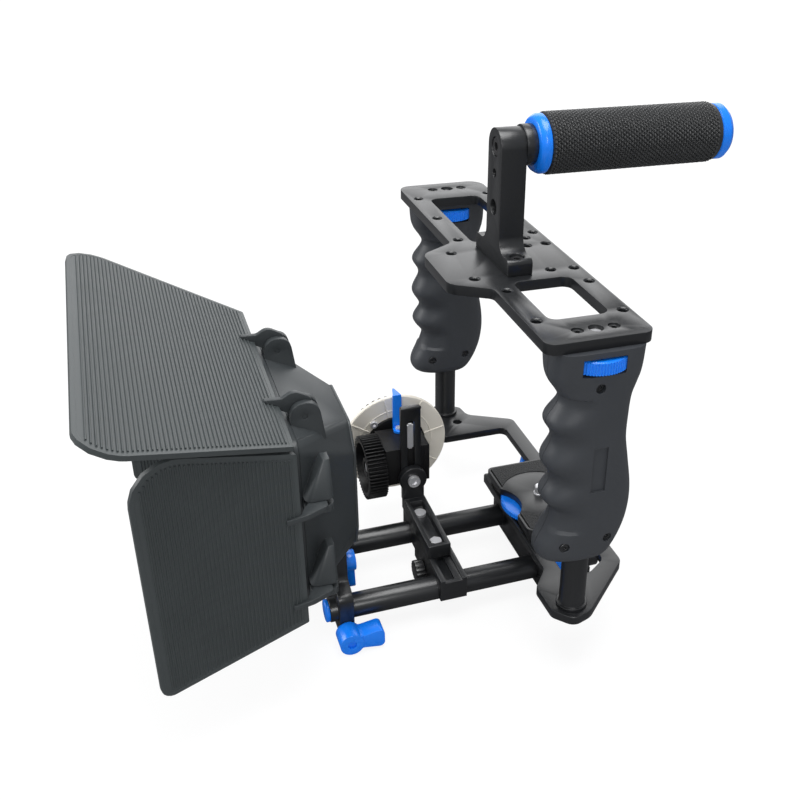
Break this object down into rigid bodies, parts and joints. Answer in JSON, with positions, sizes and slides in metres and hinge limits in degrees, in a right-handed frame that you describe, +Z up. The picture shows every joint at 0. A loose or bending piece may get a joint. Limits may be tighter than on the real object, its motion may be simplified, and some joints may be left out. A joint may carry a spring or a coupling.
{
  "type": "camera cage",
  "caption": "Camera cage with pistol grips, a top handle and a camera plate on rods that carry a matte box with folding flags and a geared follow focus.",
  "frame": {"origin": "seat of the camera screw: the middle of the camera plate's upper face, where the camera's base meets it, on the lens axis", "axes": "+Z up along the camera screw; -Y towards the lens, the matte box and the subject; +X across the cage, towards the grip on the viewer's left when the subject is ahead of them"},
  "size_m": [0.272, 0.3656, 0.2982],
  "materials": {
    "anodised": "satin black anodised",
    "black_metal": "black anodised",
    "moulded": "fine-grained moulded plastic",
    "flag": "ribbed matt plastic",
    "rubber_black": "matt black rubber",
    "blue_metal": "bright blue anodised",
    "screws": "plated steel",
    "gear_black": "black nylon",
    "dial": "cream plastic"
  },
  "bodies": {
    "base": {"base_plate": "anodised", "base_screws": "screws", "near_pillar": "anodised", "far_pillar": "anodised", "rod_clamp": "black_metal", "plate_base": "anodised", "camera_plate": "anodised", "plate_pads": "rubber_black"},
    "rods": {"near_rod": "anodised", "far_rod": "anodised", "rod_caps": "blue_metal"},
    "cage": {"top_plate": "anodised", "handle_post": "black_metal", "handle_screws": "screws", "handle_core": "anodised", "handle_collar": "blue_metal", "handle_sleeve": "rubber_black", "handle_cap": "blue_metal", "near_grip_outer": "moulded", "near_grip_inner": "moulded", "far_grip_outer": "moulded", "far_grip_inner": "moulded", "grip_screws": "screws"},
    "near_thumbwheel": {"near_thumbwheel": "blue_metal"},
    "far_thumbwheel": {"far_thumbwheel": "blue_metal"},
    "camera_wheel": {"camera_wheel": "blue_metal"},
    "near_clamp_knob": {"near_clamp_knob": "blue_metal"},
    "far_clamp_lever": {"far_clamp_lever": "blue_metal"},
    "matte_box": {"box_bracket": "black_metal", "box_shell": "moulded", "box_frame": "moulded", "box_rim": "anodised", "hinge_pins": "screws"},
    "lower_wing_knob": {"lower_wing_knob": "blue_metal"},
    "upper_wing_knob": {"upper_wing_knob": "blue_metal"},
    "top_flag": {"top_flag": "flag", "top_flag_arms": "black_metal"},
    "near_flag": {"near_flag": "flag", "near_flag_arms": "black_metal"},
    "far_flag": {"far_flag": "flag", "far_flag_arms": "black_metal"},
    "focus_rail": {"focus_rail": "black_metal"},
    "rail_knob": {"rail_knob": "black_metal"},
    "focus_arm": {"focus_arm": "black_metal", "arm_bolts": "screws"},
    "focus_tilt": {"tilt_screw": "screws"},
    "gearbox": {"tilt_bracket": "black_metal", "gearbox_case": "black_metal", "gearbox_cover": "black_metal", "pointer_screw": "screws"},
    "hand_wheel": {"hand_shaft": "screws", "marking_disc": "dial", "hand_wheel": "gear_black", "hand_wheel_flange": "gear_black"},
    "drive_gear": {"gear_shaft": "screws", "drive_gear": "gear_black"},
    "pointer": {"pointer": "blue_metal"}
  },
  "joints": [
    {"name": "rods_slide", "type": "slide", "parent": "base", "child": "rods", "axis": [0, 1, 0], "range_m": [-0.02, 0.01]},
    {"name": "cage_height", "type": "slide", "parent": "base", "child": "cage", "axis": [0, 0, 1], "range_m": [-0.03, 0.015]},
    {"name": "near_wheel_turn", "type": "hinge", "parent": "cage", "child": "near_thumbwheel", "pos_m": [0.096, -0.02, 0.15], "axis": [0, 0, 1], "range_deg": [-3601, 1801]},
    {"name": "far_wheel_turn", "type": "hinge", "parent": "cage", "child": "far_thumbwheel", "pos_m": [-0.136, -0.02, 0.15], "axis": [0, 0, 1], "range_deg": [-3601, 1801]},
    {"name": "camera_wheel_turn", "type": "hinge", "parent": "base", "child": "camera_wheel", "pos_m": [0, 0, -0.006], "axis": [0, 0, 1], "continuous": true},
    {"name": "near_knob_turn", "type": "hinge", "parent": "base", "child": "near_clamp_knob", "pos_m": [0.042, -0.004, -0.023], "axis": [1, 0, 0], "continuous": true},
    {"name": "far_lever_turn", "type": "hinge", "parent": "base", "child": "far_clamp_lever", "pos_m": [-0.042, 0.008, -0.023], "axis": [-1, 0, 0], "range_deg": [0, 100]},
    {"name": "box_slide", "type": "slide", "parent": "rods", "child": "matte_box", "axis": [0, 1, 0], "range_m": [-0.004, 0.015]},
    {"name": "lower_wing_turn", "type": "hinge", "parent": "matte_box", "child": "lower_wing_knob", "pos_m": [0.04, -0.1398, -0.0452], "axis": [1, 0, 0], "continuous": true},
    {"name": "upper_wing_turn", "type": "hinge", "parent": "matte_box", "child": "upper_wing_knob", "pos_m": [0.008, -0.135, -0.018], "axis": [0, 1, 0], "range_deg": [-30, 30]},
    {"name": "top_flag_tilt", "type": "hinge", "parent": "matte_box", "child": "top_flag", "pos_m": [0, -0.157, 0.1103], "axis": [-1, 0, 0], "range_deg": [0, 50]},
    {"name": "near_flag_swing", "type": "hinge", "parent": "matte_box", "child": "near_flag", "pos_m": [0.07, -0.157, 0.054], "axis": [0, 0, 1], "range_deg": [-45, 60]},
    {"name": "far_flag_swing", "type": "hinge", "parent": "matte_box", "child": "far_flag", "pos_m": [-0.07, -0.157, 0.054], "axis": [0, 0, -1], "range_deg": [-45, 60]},
    {"name": "focus_slide", "type": "slide", "parent": "rods", "child": "focus_rail", "axis": [0, 1, 0], "range_m": [-0.015, 0.012]},
    {"name": "rail_knob_turn", "type": "hinge", "parent": "focus_rail", "child": "rail_knob", "pos_m": [0.005, -0.081, -0.0395], "axis": [0, 1, 0], "continuous": true},
    {"name": "arm_slide", "type": "slide", "parent": "focus_rail", "child": "focus_arm", "axis": [1, 0, 0], "range_m": [-0.008, 0.02]},
    {"name": "gearbox_tilt", "type": "hinge", "parent": "focus_arm", "child": "focus_tilt", "pos_m": [-0.042, -0.0745, 0.0007], "axis": [1, 0, 0], "range_deg": [-20, 20]},
    {"name": "gearbox_drop", "type": "slide", "parent": "focus_tilt", "child": "gearbox", "axis": [0, 0, 1], "range_m": [-0.018, 0]},
    {"name": "hand_wheel_turn", "type": "hinge", "parent": "gearbox", "child": "hand_wheel", "pos_m": [-0.075, -0.075, 0.0052], "axis": [1, 0, 0], "continuous": true},
    {"name": "drive_gear_turn", "type": "hinge", "parent": "gearbox", "child": "drive_gear", "pos_m": [-0.056, -0.09, 0.0052], "axis": [0, 1, 0], "continuous": true},
    {"name": "pointer_turn", "type": "hinge", "parent": "gearbox", "child": "pointer", "pos_m": [-0.068, -0.0755, 0.022], "axis": [0, 0, 1], "range_deg": [-20, 20]}
  ],
  "couplings": [
    {"joint": "near_wheel_turn", "follows": "cage_height", "rad_per_m": 2094.4},
    {"joint": "far_wheel_turn", "follows": "cage_height", "rad_per_m": 2094.4},
    {"joint": "drive_gear_turn", "follows": "hand_wheel_turn", "ratio": -1}
  ]
}
